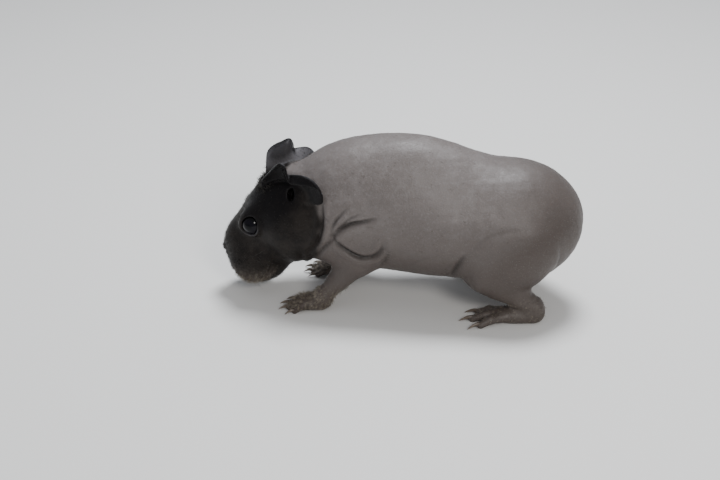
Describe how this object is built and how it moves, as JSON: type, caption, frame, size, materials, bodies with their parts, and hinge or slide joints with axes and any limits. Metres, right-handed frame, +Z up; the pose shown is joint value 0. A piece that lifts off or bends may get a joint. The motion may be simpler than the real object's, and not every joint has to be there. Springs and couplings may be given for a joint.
{
  "type": "skinny pig",
  "caption": "Life-size still model of a young hairless guinea pig standing on four feet with its head lowered, dark grey wrinkled skin and sparse fuzz.",
  "frame": {"origin": "bottom centre of the bounding box, on the floor between the feet", "axes": "the animal faces -X, its left side is at -Y, +Z is up"},
  "size_m": [0.1772, 0.0674, 0.0859],
  "materials": {
    "body_skin": "satin",
    "head_skin": "satin",
    "ear_skin": "satin",
    "foot_skin": "matte",
    "eye": "gloss",
    "claw": "satin",
    "fuzz": "matte"
  },
  "bodies": {
    "root": {"head": "head_skin", "neck": "body_skin", "torso": "body_skin", "ear_left": "ear_skin", "eye_left": "eye", "foreleg_left": "body_skin", "forefoot_left": "foot_skin", "hindleg_left": "body_skin", "hindfoot_left": "foot_skin", "claw_fore_left_1": "claw", "claw_fore_left_2": "claw", "claw_fore_left_3": "claw", "claw_fore_left_4": "claw", "claw_hind_left_1": "claw", "claw_hind_left_2": "claw", "claw_hind_left_3": "claw", "ear_right": "ear_skin", "eye_right": "eye", "foreleg_right": "body_skin", "forefoot_right": "foot_skin", "hindleg_right": "body_skin", "hindfoot_right": "foot_skin", "claw_fore_right_1": "claw", "claw_fore_right_2": "claw", "claw_fore_right_3": "claw", "claw_fore_right_4": "claw", "claw_hind_right_1": "claw", "claw_hind_right_2": "claw", "claw_hind_right_3": "claw"}
  },
  "joints": []
}
